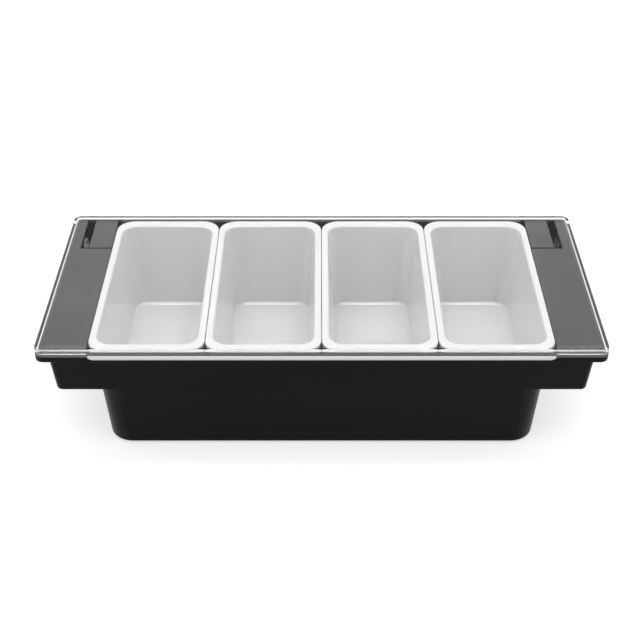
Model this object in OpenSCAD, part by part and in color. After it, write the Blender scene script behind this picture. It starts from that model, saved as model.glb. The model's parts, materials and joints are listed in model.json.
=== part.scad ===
// Condiment caddy: a black stepped tub with a deck frame on its flange, four white inserts that
// hang in a row, and one clear lid on gooseneck arms that turn on pins below the deck.
// X runs along the row, Y from front to rear, Z up. The origin is on the table, under the
// middle of the whole outline.

/* [Inserts] */
// Width of one insert's rim, along the row
insert_w = 98; // [80:0.5:120]
// Length of one insert's rim, front to rear
insert_l = 210.6; // [180:0.1:240]
// Depth inside an insert, from the top of its rim to its floor
insert_depth = 85.6; // [70:0.1:110]
// Wall and floor thickness of an insert
insert_wall = 1.5; // [1.2:0.1:2]
// Thickness of an insert's rim
rim_t = 3; // [2.8:0.1:3.4]
// Width of the rim along an insert's long sides
rim_side = 6.2; // [5:0.1:8]
// Width of the rim at an insert's front and rear
rim_end = 10.4; // [9.8:0.1:13]
// Corner radius of an insert's mouth, seen from above
mouth_r = 13; // [9:0.5:18]
// Radius between an insert's walls and its floor
insert_floor_r = 7; // [3:0.5:8]
// Gap between the rims of two neighbouring inserts
insert_gap = 0.4; // [0.3:0.1:2]

/* [Body] */
// Width of the deck at each end of the row of inserts
end_deck = 43.4; // [41:0.2:60]
// Width of the deck strip in front of the row
front_strip = 3.4; // [2.2:0.1:4]
// Width of the deck strip behind the row
rear_strip = 4.9; // [4.6:0.1:6]
// Width of the seat under each insert's front and rear rim
seat_w = 7.8; // [6:0.1:8.2]
// Thickness of the flange around the top of the body
flange_t = 5.1; // [4:0.1:8]
// Reach of the flange beyond the body's end walls
side_overhang = 8.8; // [7:0.1:11.4]
// Reach of the flange beyond the body's front wall
front_overhang = 8; // [6:0.1:8.1]
// Reach of the flange beyond the body's rear wall
rear_overhang = 2.4; // [1.6:0.1:3.2]
// Height of the upper step, from its underside to the deck
step_depth = 45.5; // [40:0.5:56]
// Free height for ice under the inserts
ice_space = 19.2; // [8:0.1:40]
// Gap between the end inserts and the tub's end walls
tub_clear = 2.6; // [1.4:0.1:3.4]
// Wall and floor thickness of the body
body_wall = 2.2; // [1.8:0.1:2.6]
// Slope of the inserts' walls and of the body's front and rear wall, in degrees from upright
draft_deg = 4.1; // [3:0.1:4.5]
// Slope of the upper step's end walls
step_end_deg = 5; // [3:0.1:6.6]
// Slope of the tub's end walls
tub_end_deg = 3.7; // [3:0.1:5.2]
// Corner radius of the flange at the front
front_corner_r = 7.5; // [6:0.5:14]
// Corner radius of the flange at the rear
rear_corner_r = 7; // [5:0.5:12]
// Corner radius of the upper step's upright edges
step_corner_r = 5; // [4:0.5:6]
// Corner radius of the tub's upright edges
tub_corner_r = 21; // [10:0.5:22]
// Radius along the underside of the upper step
step_edge_r = 3; // [3:0.5:4]
// Radius along the underside of the tub
tub_edge_r = 3.5; // [3:0.5:8]

/* [Deck frame] */
// Thickness of the deck frame's plate
frame_t = 2.4; // [2:0.1:2.6]
// Step between the flange's edge and the deck frame's edge
frame_inset = 0.3; // [0.2:0.1:0.6]
// Gap between the deck frame and the row of rims
rim_clear = 0.4; // [0.3:0.1:0.6]
// Thickness of the walls that hang from the deck frame at the ends of the row
curtain_t = 2; // [1.5:0.1:3]

/* [Hinge] */
// Length of the slot that a lid arm rises through
slot_l = 52.2; // [50:0.2:56]
// Width of the deck behind the slot
slot_strip = 2; // [1.8:0.1:2.4]
// Width of that slot
slot_w = 7.6; // [7.4:0.1:9]
// Width of the deck outside the slot
slot_margin = 13.2; // [13.2:0.1:15]
// Radius of the hinge pin
pin_r = 2; // [1.5:0.05:2.5]
// Gap between the hinge pin and the eye that turns on it
pin_clear = 0.08; // [0.04:0.01:0.1]
// Radius of a lid arm's eye and of the bosses on each side of it
eye_r = 5; // [4.5:0.1:5.2]
// Thickness of a lid arm
arm_t = 3; // [2.6:0.1:3.4]
// Gap on each side of a lid arm
arm_clear = 0.4; // [0.3:0.05:0.5]
// Distance from the pin to the front of a lid arm
arm_reach = 37; // [34:0.5:38]
// Width of the part of the arm that rises through the slot
riser_w = 10; // [7:0.5:10]
// How far the lid opens, in degrees
lid_open = 100; // [90:1:102]

/* [Lid] */
// Thickness of the lid's plate
lid_t = 3; // [2:0.1:3.4]
// Height of the space between the deck and the lid's plate
lid_rise = 3; // [2.8:0.1:3.2]
// Thickness of the lid's skirt
skirt_t = 2.4; // [2:0.1:2.6]
// Gap between the deck and the bottom of the lid's skirt
lid_gap = 0.4; // [0.35:0.05:0.5]
// Step between the flange's edge and the lid's edge, at the front and the ends
lid_inset = 0.4; // [0.3:0.1:0.6]
// Step between the flange's edge and the lid's edge, at the rear
lid_rear_inset = 0.8; // [0.4:0.1:1.6]
// Corner radius of the lid
lid_corner_r = 7; // [5:0.5:12]
// Length of the finger lip along the lid's front
lip_l = 391; // [200:1:400]
// Reach of the finger lip in front of the lid
lip_reach = 7.9; // [6:0.1:14]
// Thickness of the finger lip
lip_t = 2.8; // [2:0.1:3.4]
// Corner radius of the finger lip
lip_corner_r = 7; // [3:0.5:8]

/* [Screws and feet] */
// Radius of a screw's shank
screw_r = 1.5; // [1.2:0.05:1.7]
// Length of a screw's shank
screw_l = 12; // [9:0.5:14]
// Radius of a screw's head
screw_head_r = 3.2; // [2.8:0.1:3.6]
// Height of a screw's head
screw_head_t = 2.2; // [1.8:0.1:2.4]
// Radius of a rubber foot
foot_r = 8; // [6:0.5:10]
// Thickness of a rubber foot
foot_t = 1.2; // [1:0.1:2]
// Distance of the feet from the tub's outline
foot_inset = 22; // [20:0.5:30]

/* [Hidden] */

black = [0.05, 0.05, 0.055];
white = [0.95, 0.95, 0.95];
clear = [0.85, 0.9, 0.92, 0.35];
steel = [0.7, 0.7, 0.72];
rubber = [0.12, 0.12, 0.12];

insert_count = 4;
draft = tan(draft_deg);
step_end = tan(step_end_deg);
tub_end = tan(tub_end_deg);
join = 0.01;          // overlap that merges two shapes of one piece
cut = 1;              // extra length of a cutting shape
round_fn = 64;
hull_fn = 32;

// Row of inserts, along X
pitch = insert_w + insert_gap;
row_half = insert_count * pitch / 2 - insert_gap / 2;
end_insert_x = (insert_count - 1) * pitch / 2;
body_half = row_half + end_deck;

// Front to rear, along Y, with the finger lip and the body's rear edge as the limits
body_depth = front_strip + insert_l + rear_strip;
y_front = (lip_reach - lid_inset - body_depth) / 2;
y_rear = y_front + body_depth;
y_lid_front = y_front + lid_inset;
y_lid_rear = y_rear - lid_rear_inset;
y_row_front = y_front + front_strip;
y_row_rear = y_row_front + insert_l;
y_row = (y_row_front + y_row_rear) / 2;

// Heights
z_floor = foot_t + body_wall;
rim_proud = rim_t - frame_t;
z_deck = z_floor + ice_space + insert_wall + insert_depth - rim_proud;
z_flange_top = z_deck - frame_t;
z_flange = z_flange_top - flange_t;
z_step = z_deck - step_depth;
z_step_floor = z_step + body_wall;
z_rim = z_deck + rim_proud;
z_lid_inside = z_deck + lid_rise;
z_lid = z_lid_inside + lid_t;

// Body walls, at the height where each tapered box is widest
step_half = body_half - side_overhang;
y_wall_front = y_front + front_overhang;
y_wall_rear = y_rear - rear_overhang;
step_fall = draft * (z_flange - z_step - step_edge_r) + join;
mouth_half = insert_w / 2 - rim_side;
insert_half_at_step = mouth_half + insert_wall - draft * (z_rim - z_step);
tub_half = end_insert_x + insert_half_at_step + tub_clear + body_wall;

// Hinge: the pin lies behind the row and deep enough for the lid's plate to clear the rear edge
wall_gap = 1.2;
hinge_inset = rear_overhang + body_wall + wall_gap + eye_r;
swing_clear = 0.4;
arm_stop_gap = 1.6;
swing_rise = lid_rise - swing_clear;
hinge_drop = ceil(10 * (hinge_inset * hinge_inset - swing_rise * swing_rise) / (2 * swing_rise)) / 10;
skirt_swing_r = hinge_drop + lid_rise - 0.2;
y_hinge = y_rear - hinge_inset;
z_hinge = z_deck - hinge_drop;
slot_out = body_half - slot_margin;
slot_in = slot_out - slot_w;
y_slot_rear = y_rear - slot_strip;
y_slot_front = y_slot_rear - slot_l;
boss_l = 2.2;
arm_x = slot_out - boss_l - arm_clear - arm_t;
block_in = row_half + 2 * rim_clear;
block_out = slot_in - rim_clear / 2;
y_block_front = y_slot_front + rim_clear;
y_seat_rear = y_row_rear - seat_w;
y_room_rear = y_wall_rear - body_wall;
bore_clear = 0.03;
block_wall = 2.2;
pin_in = block_in + 5;
pin_end_gap = 0.3;
wall_boss_x = slot_out - boss_l;
wall_boss_end = step_half - body_wall - 0.5;
pin_out = slot_out;

// Screw posts stand on pads in the upper step's floor
pad_t = body_wall + screw_head_t + 0.2;
pad_r = screw_head_r + 2.6;
z_pad = z_step + pad_t;
y_block_rear = y_room_rear - draft * (z_flange - z_pad) - rim_clear;
head_room = screw_head_t + 0.1;
post_r = 4.5;
curtain_in = row_half + rim_clear;
y_curtain_front = y_wall_front + step_fall + body_wall + 1;
post_x = (curtain_in + curtain_t + slot_out) / 2;
post_slot_gap = 18;
post_y = [y_wall_front + post_slot_gap + 1, y_slot_front - post_slot_gap];
block_screw_x = (block_in + block_out) / 2;
block_screw_y = y_slot_front + post_slot_gap + 1;
thread_clear = 0.05;
curtain_gap = 0.4;

// A flat outline with one radius for its two front corners and one for its two rear corners
module outline(x_half, y0, y1, r_front, r_rear) {
    translate([-x_half, y0 + r_front]) square([2 * x_half, y1 - y0 - r_front - r_rear]);
    translate([-x_half + r_front, y0]) square([2 * (x_half - r_front), r_front + join]);
    translate([-x_half + r_rear, y1 - r_rear - join]) square([2 * (x_half - r_rear), r_rear + join]);
    for (s = [-1, 1]) {
        translate([s * (x_half - r_front), y0 + r_front]) circle(r_front, $fn = round_fn);
        translate([s * (x_half - r_rear), y1 - r_rear]) circle(r_rear, $fn = round_fn);
    }
}

module plate(x_half, y0, y1, z0, z1, r_front, r_rear) {
    translate([0, 0, z0]) linear_extrude(z1 - z0) outline(x_half, y0, y1, r_front, r_rear);
}

module box(x0, x1, y0, y1, z0, z1) {
    translate([x0, y0, z0]) cube([x1 - x0, y1 - y0, z1 - z0]);
}

// A box that narrows downwards, with round upright corners and a round lower edge
module tapered_box(x_half, y0, y1, z0, z1, r_corner, r_edge, end_slope) {
    fall = draft * (z1 - z0 - r_edge);
    end_fall = end_slope * (z1 - z0 - r_edge);
    hull() {
        for (sx = [-1, 1], sy = [0, 1]) {
            y_top = sy == 0 ? y0 + r_corner : y1 - r_corner;
            translate([sx * (x_half - r_corner), y_top, z1 - join])
                cylinder(h = join, r = r_corner, $fn = hull_fn);
            y_low = sy == 0 ? y_top + fall : y_top - fall;
            for (a = [0 : 30 : 90])
                translate([sx * (x_half - end_fall - r_corner), y_low, z0 + r_edge * (1 - cos(a))])
                    cylinder(h = join, r = r_corner - r_edge * (1 - sin(a)), $fn = hull_fn);
        }
    }
}

module along_x(x0, x1, r) {
    translate([x0, y_hinge, z_hinge]) rotate([0, 90, 0]) cylinder(h = x1 - x0, r = r, $fn = round_fn);
}

// The left pieces are mirror images of the right ones
module on_side(s) {
    mirror([s < 0 ? 1 : 0, 0, 0]) children();
}

module both_sides() {
    for (s = [-1, 1]) on_side(s) children();
}

module screw_hole(x, y) {
    translate([x, y, z_step - cut]) cylinder(h = head_room + cut, r = screw_head_r + 0.4, $fn = round_fn);
    translate([x, y, z_step]) cylinder(h = pad_t + cut, r = screw_r + 0.3, $fn = round_fn);
}

module screw_pad(x, y) {
    translate([x, y, z_step_floor - join]) cylinder(h = pad_t - body_wall + join, r = pad_r, $fn = round_fn);
}

module pilot_hole(x, y) {
    translate([x, y, z_pad - cut])
        cylinder(h = screw_l + cut, r = screw_r + thread_clear, $fn = round_fn);
}

module body_shape() {
    plate(body_half, y_front, y_rear, z_flange, z_flange_top, front_corner_r, rear_corner_r);
    tapered_box(step_half, y_wall_front, y_wall_rear, z_step, z_flange + join, step_corner_r, step_edge_r,
        step_end);
    tapered_box(tub_half, y_wall_front + step_fall, y_wall_rear - step_fall, foot_t, z_step + step_edge_r,
        tub_corner_r, tub_edge_r, tub_end);
}

module body_hollow() {
    w = body_wall;
    plate(slot_out, y_row_front + seat_w, y_seat_rear, z_flange - join, z_flange_top + cut,
        step_corner_r - w, step_corner_r - w);
    tapered_box(step_half - w, y_wall_front + w, y_wall_rear - w, z_step_floor, z_flange,
        step_corner_r - w, step_edge_r - w, step_end);
    tapered_box(tub_half - w, y_wall_front + step_fall + w, y_wall_rear - step_fall - w, z_floor,
        z_step + step_edge_r + join, tub_corner_r - w, tub_edge_r - w, tub_end);
}

module body_tub() {
    color(black) difference() {
        union() {
            difference() {
                body_shape();
                body_hollow();
            }
            both_sides() {
                for (y = post_y) screw_pad(post_x, y);
                screw_pad(block_screw_x, block_screw_y);
                along_x(wall_boss_x, wall_boss_end, eye_r);
            }
        }
        both_sides() {
            for (y = post_y) screw_hole(post_x, y);
            screw_hole(block_screw_x, block_screw_y);
            box(curtain_in, slot_out, y_seat_rear - cut, y_room_rear,
                z_flange - join, z_flange_top + cut);
            along_x(wall_boss_x - cut, pin_out + pin_end_gap, pin_r + bore_clear);
        }
    }
}

module deck_frame() {
    x_half = body_half - frame_inset;
    color(black) difference() {
        union() {
            difference() {
                plate(x_half, y_front + frame_inset, y_rear - frame_inset, z_flange_top, z_deck,
                    front_corner_r - frame_inset, rear_corner_r - frame_inset);
                box(-curtain_in, curtain_in, y_row_front - rim_clear, y_row_rear + rim_clear,
                    z_flange_top - cut, z_deck + cut);
            }
            both_sides() {
                box(curtain_in, curtain_in + curtain_t, y_curtain_front, y_slot_front,
                    z_step_floor + curtain_gap, z_flange_top + join);
                for (y = post_y)
                    translate([post_x, y, z_pad])
                        cylinder(h = z_flange_top - z_pad + join, r = post_r, $fn = round_fn);
            }
        }
        both_sides() {
            box(curtain_in - cut, slot_out, y_slot_front, y_slot_rear, z_flange_top - cut, z_deck + cut);
            for (y = post_y) pilot_hole(post_x, y);
        }
    }
}

// Fills the deck's pocket beside the slot, stands on the step's floor and carries the pin
module hinge_block(s) {
    y_solid = y_hinge - eye_r - 1;
    color(black) on_side(s) difference() {
        union() {
            difference() {
                box(block_in, block_out, y_block_front, y_block_rear, z_pad, z_deck);
                box(block_in + block_wall, block_out - block_wall, y_block_front + block_wall, y_solid,
                    z_pad - cut, z_deck - block_wall);
            }
            box(block_in, block_out, y_block_rear - join, y_slot_rear - rim_clear, z_flange_top, z_deck);
            translate([block_screw_x, block_screw_y, z_pad])
                cylinder(h = z_deck - block_wall - z_pad + join, r = post_r, $fn = round_fn);
            along_x(block_out - join, arm_x - arm_clear, eye_r);
        }
        pilot_hole(block_screw_x, block_screw_y);
        along_x(block_in - cut, arm_x, pin_r + bore_clear);
    }
}

module hinge_pin(s) {
    color(steel) on_side(s) along_x(pin_in, pin_out, pin_r);
}

module insert(i) {
    x = (i - (insert_count - 1) / 2) * pitch;
    mouth_l = insert_l / 2 - rim_end;
    outside_l = mouth_l + insert_wall;
    rim_r = mouth_r + rim_side / 2;
    lip_drop = 1;
    lip_w = 1.6;
    color(white) translate([x, 0, 0]) difference() {
        union() {
            plate(insert_w / 2, y_row_front, y_row_rear, z_rim - rim_t, z_rim, rim_r, rim_r);
            tapered_box(mouth_half + insert_wall, y_row - outside_l, y_row + outside_l,
                z_floor + ice_space, z_rim, mouth_r + insert_wall, insert_floor_r + insert_wall, draft);
        }
        tapered_box(mouth_half, y_row - mouth_l, y_row + mouth_l, z_rim - insert_depth, z_rim + join,
            mouth_r, insert_floor_r, draft);
        difference() {
            plate(insert_w / 2 - lip_w, y_row_front + lip_w, y_row_rear - lip_w, z_rim - rim_t - cut,
                z_rim - rim_t + lip_drop, rim_r - lip_w, rim_r - lip_w);
            plate(mouth_half + insert_wall + join, y_row - outside_l, y_row + outside_l,
                z_rim - rim_t - 2 * cut, z_rim, mouth_r + insert_wall, mouth_r + insert_wall);
        }
    }
}

// A point fixed to the body, seen from the open lid: both are measured from the hinge pin
function from_open_lid(y, z) =
    [y * cos(lid_open) - z * sin(lid_open), y * sin(lid_open) + z * cos(lid_open)];

// The arm runs forward from its eye and rises to the lid, so that it wraps the rear edge when open
module lid_arm() {
    rear_wall = y_wall_rear - body_wall - y_hinge;
    wall_edge = from_open_lid(rear_wall, z_flange_top - z_hinge);
    stop = wall_edge - [arm_stop_gap, 0.5];
    riser = -(arm_reach - riser_w);
    top = z_lid_inside - z_hinge + join;
    heel = eye_r + 1;
    chamfer = 4;
    translate([arm_x, y_hinge, z_hinge]) rotate([90, 0, 90]) linear_extrude(arm_t) {
        circle(eye_r, $fn = round_fn);
        polygon([
            [0, eye_r], stop, [riser, stop[1] + arm_t], [riser, top],
            [-arm_reach, top], [-arm_reach, chamfer - heel], [chamfer - arm_reach, -heel], [0, -eye_r]
        ]);
    }
}

module lid() {
    x_half = body_half - lid_inset;
    z_skirt = z_deck + lid_gap;
    color(clear) difference() {
        union() {
            difference() {
                plate(x_half, y_lid_front, y_lid_rear, z_skirt, z_lid, lid_corner_r, lid_corner_r);
                plate(x_half - skirt_t, y_lid_front + skirt_t, y_lid_rear - skirt_t, z_skirt - cut,
                    z_lid_inside, lid_corner_r - skirt_t, lid_corner_r - skirt_t);
                along_x(-x_half - cut, x_half + cut, skirt_swing_r);
            }
            intersection() {
                plate(lip_l / 2, y_lid_front - lip_reach, y_lid_front + 2 * lip_corner_r, z_skirt,
                    z_skirt + lip_t, lip_corner_r, join);
                box(-lip_l, lip_l, y_lid_front - 2 * lip_reach, y_lid_front + skirt_t / 2,
                    z_skirt - cut, z_lid);
            }
            both_sides() lid_arm();
        }
        both_sides() along_x(arm_x - cut, arm_x + arm_t + cut, pin_r + pin_clear);
    }
}

module screw(x, y) {
    z_head = z_step + head_room;
    slot = 0.9;
    slot_depth = 1;
    color(steel) translate([x, y, z_head]) difference() {
        union() {
            translate([0, 0, -screw_head_t]) cylinder(h = screw_head_t, r = screw_head_r, $fn = round_fn);
            translate([0, 0, -join]) cylinder(h = screw_l, r = screw_r, $fn = round_fn);
        }
        for (a = [0, 90])
            rotate([0, 0, a]) translate([-screw_head_r / 2, -slot / 2, -screw_head_t - cut])
                cube([screw_head_r, slot, slot_depth + cut]);
    }
}

module frame_screw(i) {
    side = i < 2 ? -1 : 1;
    screw(side * post_x, post_y[i % 2]);
}

module foot(i) {
    side = i < 2 ? -1 : 1;
    fall = draft * (z_flange - foot_t);
    tub_bottom = tub_half - tub_end * (z_step - foot_t);
    y = i % 2 == 0 ? y_wall_front + fall + foot_inset : y_wall_rear - fall - foot_inset;
    color(rubber) translate([side * (tub_bottom - foot_inset), y, 0])
        cylinder(h = foot_t, r = foot_r, $fn = round_fn);
}

body_tub();
deck_frame();
hinge_block(-1);  // hinge_block_left
hinge_block(1);  // hinge_block_right
hinge_pin(-1);  // hinge_pin_left
hinge_pin(1);  // hinge_pin_right
insert(0);  // insert_1
insert(1);  // insert_2
insert(2);  // insert_3
insert(3);  // insert_4
lid();
frame_screw(0);  // frame_screw_1
frame_screw(1);  // frame_screw_2
frame_screw(2);  // frame_screw_3
frame_screw(3);  // frame_screw_4
screw(-block_screw_x, block_screw_y);  // block_screw_left
screw(block_screw_x, block_screw_y);  // block_screw_right
foot(0);  // foot_1
foot(1);  // foot_2
foot(2);  // foot_3
foot(3);  // foot_4
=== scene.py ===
"""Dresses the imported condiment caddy: a black stepped body with a deck, four white inserts, and one
clear lid on gooseneck arms. All lengths are in metres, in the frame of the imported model."""

import json
import math

import bmesh
import bpy
from bpy.props import FloatProperty, FloatVectorProperty, IntProperty, PointerProperty
from mathutils import Matrix, Vector


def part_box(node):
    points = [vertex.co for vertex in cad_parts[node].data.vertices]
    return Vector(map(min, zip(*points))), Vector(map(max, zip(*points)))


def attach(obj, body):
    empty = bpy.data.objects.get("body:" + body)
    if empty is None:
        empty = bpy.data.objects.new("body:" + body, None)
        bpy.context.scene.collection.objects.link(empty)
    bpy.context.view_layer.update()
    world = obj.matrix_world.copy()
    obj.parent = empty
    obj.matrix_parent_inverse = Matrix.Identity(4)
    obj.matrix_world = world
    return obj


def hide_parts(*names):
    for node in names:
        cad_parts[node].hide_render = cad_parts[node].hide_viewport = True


bl_info = {
    "name": "Condiment caddy",
    "version": (1, 0, 0),
    "blender": (4, 5, 0),
    "location": "3D View > Sidebar > Caddy",
    "description": "Shapes, finishes and stage for a bar caddy with lift-out inserts and a clear lid",
    "category": "Object",
}

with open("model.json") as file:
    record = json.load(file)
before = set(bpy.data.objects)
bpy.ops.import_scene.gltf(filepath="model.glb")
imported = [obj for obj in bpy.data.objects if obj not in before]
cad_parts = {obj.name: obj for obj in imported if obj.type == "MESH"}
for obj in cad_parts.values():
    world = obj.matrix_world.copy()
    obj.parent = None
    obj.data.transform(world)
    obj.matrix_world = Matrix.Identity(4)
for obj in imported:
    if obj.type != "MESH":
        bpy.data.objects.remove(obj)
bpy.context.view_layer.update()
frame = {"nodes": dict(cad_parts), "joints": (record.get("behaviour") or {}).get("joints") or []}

MM = 0.001
SAME_PLACE = 1e-6       # points nearer than this count as one
ON_PLANE = 1e-7         # points nearer to a cutting plane than this count as on it
PAST = MM               # how far a cutter reaches past the face that it cuts
SHY = 0.03 * MM         # kept between faces that would lie on each other otherwise
ARC_STEPS = 12          # segments of a corner
EDGE_STEPS = 5          # segments of a round edge
BEVEL_STEPS = 3         # segments of a small bevel
ROD_STEPS = 48          # sides of a rod
RELIEF_STEPS = 256      # sides of the large rod that cuts the lid's skirt
SHARP_ANGLE = math.radians(38)
SENSOR_WIDTH = 36       # of the camera, in millimetres
INSERTS = ("insert_1", "insert_2", "insert_3", "insert_4")
SIDES = {"left": -1, "right": 1}

TUB_LOW, TUB_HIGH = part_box("body_tub")
DECK_LOW, DECK_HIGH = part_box("deck_frame")
LID_LOW, LID_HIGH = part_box("lid")
BLOCK_LOW, BLOCK_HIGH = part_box("hinge_block_right")
PIN_LOW, PIN_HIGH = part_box("hinge_pin_right")
PIN_RADIUS = (PIN_HIGH.z - PIN_LOW.z) / 2
ROW_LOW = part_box(INSERTS[0])[0]
ROW_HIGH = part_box(INSERTS[-1])[1]
HINGE = frame["joints"][0]
PIVOT = Vector(HINGE["pos_m"])
LID_OPEN = math.radians(HINGE["range_deg"][1])


def length(name, description, default):
    return FloatProperty(name=name, description=description, default=default * MM, unit="LENGTH",
                         precision=4)


def angle(name, description, degrees):
    return FloatProperty(name=name, description=description, default=math.radians(degrees),
                         subtype="ANGLE")


def tone(name, description, default):
    return FloatVectorProperty(name=name, description=description, default=default, size=3,
                               subtype="COLOR", min=0.0, max=1.0)


def share(name, description, default):
    return FloatProperty(name=name, description=description, default=default, subtype="FACTOR",
                         min=0.0, max=1.0)


# ---------------------------------------------------------------------------
# Sizes and colours
# ---------------------------------------------------------------------------

class CaddyBody(bpy.types.PropertyGroup):
    colour: tone("Colour", "Black of the moulded body", (0.003, 0.003, 0.0032))
    gloss: share("Gloss", "Strength of the reflections on the body", 0.08)
    wall: length("Wall", "Thickness of the body's walls and floors", 2.2)
    flange: length("Flange", "Thickness of the flange around the body's top", 5.1)
    side_overhang: length("Side overhang", "Reach of the flange beyond the end walls", 8.8)
    front_overhang: length("Front overhang", "Reach of the flange beyond the front wall", 8.0)
    rear_overhang: length("Rear overhang", "Reach of the flange beyond the rear wall", 2.4)
    flange_edge: length("Flange edge", "Radius along the flange's edges", 0.9)
    front_corner: length("Front corner", "Corner radius of the flange at the front", 7.5)
    rear_corner: length("Rear corner", "Corner radius of the flange at the rear", 7.0)
    draft: angle("Draft", "Slope of the front and rear walls from upright", 4.1)
    step_slope: angle("Step end slope", "Slope of the upper step's end walls", 5.0)
    tub_slope: angle("Tub end slope", "Slope of the tub's end walls", 3.7)
    step_height: length("Step height", "Height of the upper step's underside", 63.6)
    step_corner: length("Step corner", "Corner radius of the upper step", 5.5)
    step_edge: length("Step edge", "Radius along the upper step's lower edge", 2.6)
    tub_half: length("Tub half length", "Half length of the tub just below the step", 193.4)
    tub_corner: length("Tub corner", "Corner radius of the tub's upright edges", 21.0)
    tub_edge: length("Tub edge", "Radius along the tub's lower edge", 3.2)
    seat: length("Seat", "Width of the seat under each insert's front and rear rim", 7.8)
    slot_width: length("Slot width", "Width of the slot that a lid arm rises through", 7.6)
    boss: length("Boss radius", "Radius of the bosses that hold the hinge pins", 5.0)
    counterbore: length("Counterbore radius", "Radius of the pockets for the screw heads", 3.6)
    screw_hole: length("Screw hole radius", "Radius of the screw holes", 1.8)


class CaddyDeck(bpy.types.PropertyGroup):
    # painted sheen: the deck's black is lightened to dark grey to stand in for the top light and the lid's
    # reflection on it
    colour: tone("Colour", "Black of the deck", (0.054, 0.0535, 0.0535))
    gloss: share("Gloss", "Strength of the reflections on the deck", 0.7)
    plate: length("Plate", "Thickness of the deck frame's plate", 2.4)
    edge: length("Edge", "Radius along the deck's outer edge", 0.5)
    gap: length("Gap", "Gap between the deck frame and the row of inserts", 0.4)
    slot_strip: length("Strip behind the slots", "Width of the deck behind the slots", 2.0)
    curtain: length("Curtain", "Thickness of the walls that hang from the deck", 2.0)
    curtain_gap: length("Curtain gap", "Gap between those walls and the body's front wall", 2.0)
    post: length("Post radius", "Radius of the screw posts", 4.5)
    bevel: length("Bevel", "Radius along the edges of the row's opening", 0.35)
    seam: length("Seam", "Width of the dark seam in front of a hinge block, beside the gap", 1.6)
    slot_bevel: length("Slot bevel", "Radius along the edges of the slots and hinge blocks", 0.5)


class CaddyInsert(bpy.types.PropertyGroup):
    colour: tone("Colour", "White of the moulded inserts", (0.81, 0.805, 0.81))
    wall: length("Wall", "Wall and floor thickness", 1.5)
    rim: length("Rim", "Thickness of the rim", 3.0)
    rim_side: length("Side rim", "Width of the rim along the long sides", 6.2)
    rim_end: length("End rim", "Width of the rim at the front and rear", 10.4)
    recess: length("Recess", "Height of the recess under the rim", 1.0)
    lip: length("Rim lip", "Width of the lip around that recess", 1.6)
    rim_edge: length("Rim edge", "Radius along the rim's outer edge", 1.1)
    mouth_corner: length("Mouth corner", "Corner radius of the mouth", 13.0)
    mouth_edge: length("Mouth edge", "Radius along the edge of the mouth", 1.6)
    depth: length("Depth", "Depth of the inside", 85.6)
    floor_edge: length("Floor edge", "Radius between the walls and the floor", 1.4)
    chamfer: length("Floor chamfer", "Width of the flat strip between that radius and the floor", 2.0)
    chamfer_slope: angle("Chamfer slope", "How far the strip leans from the level", 27)


class CaddyLid(bpy.types.PropertyGroup):
    colour: tone("Colour", "Tint of the clear plastic", (0.99, 0.99, 0.99))
    index: FloatProperty(name="Refractive index", description="How strongly the clear plastic bends light",
                         default=1.49, min=1.0, max=2.0)
    plate: length("Plate", "Thickness of the lid's plate", 3.0)
    skirt: length("Skirt", "Thickness of the lid's skirt", 2.4)
    gap: length("Gap", "Gap between the deck and the skirt", 0.4)
    corner: length("Corner", "Corner radius of the lid", 7.0)
    edge: length("Edge", "Radius along the lid's upper edge", 1.3)
    inner_edge: length("Inner edge", "Radius inside, between plate and skirt", 1.8)
    lip_length: length("Lip length", "Length of the finger lip", 391.0)
    lip_reach: length("Lip reach", "Reach of the finger lip in front of the lid", 7.9)
    lip: length("Lip", "Thickness of the finger lip", 2.8)
    lip_corner: length("Lip corner", "Corner radius of the finger lip", 7.0)
    lip_edge: length("Lip edge", "Radius along the finger lip's edges", 1.0)
    grip: length("Grip", "Width of the frosted grip on the finger lip", 2.8)
    relief: length("Relief gap", "Gap left under the plate where the skirt is cut to swing", 0.2)
    arm: length("Arm", "Thickness of a lid arm", 3.0)
    arm_reach: length("Arm reach", "Distance from the pin to the front of a lid arm", 37.0)
    riser: length("Riser", "Width of the part of the arm that rises through the slot", 10.0)
    heel: length("Heel", "Extra depth of the arm below its eye", 1.0)
    eye: length("Eye", "Radius of a lid arm's eye", 5.0)
    pin_gap: length("Pin gap", "Gap between the hinge pin and the eye", 0.08)
    bevel: length("Bevel", "Width of the bevel along the arms' edges", 0.45)


class CaddyStage(bpy.types.PropertyGroup):
    floor: tone("Floor", "Colour of the floor", (0.80, 0.80, 0.80))
    lift: share("Floor lift", "Light added to the floor, so that it looks white", 0.5)
    daylight: share("Daylight", "Strength of the even light from all around", 0.8)
    lens: FloatProperty(name="Lens", description="Focal length of the camera, in millimetres", default=68.7)
    eye_height: length("Camera height", "Height of the camera above the floor", 720.8)
    eye_distance: length("Camera distance", "Distance of the camera in front of the object's middle", 915.35)
    eye_shift: length("Camera shift", "Distance of the camera from the object's middle plane", -1.4)
    pitch: angle("Pitch", "How far the camera looks down", 35.4)
    size: IntProperty(name="Floor size", description="Side of the floor, in metres", default=12)


GROUPS = {"caddy_body": CaddyBody, "caddy_deck": CaddyDeck, "caddy_insert": CaddyInsert,
          "caddy_lid": CaddyLid, "caddy_stage": CaddyStage}


# ---------------------------------------------------------------------------
# Shaping
# ---------------------------------------------------------------------------

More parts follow.
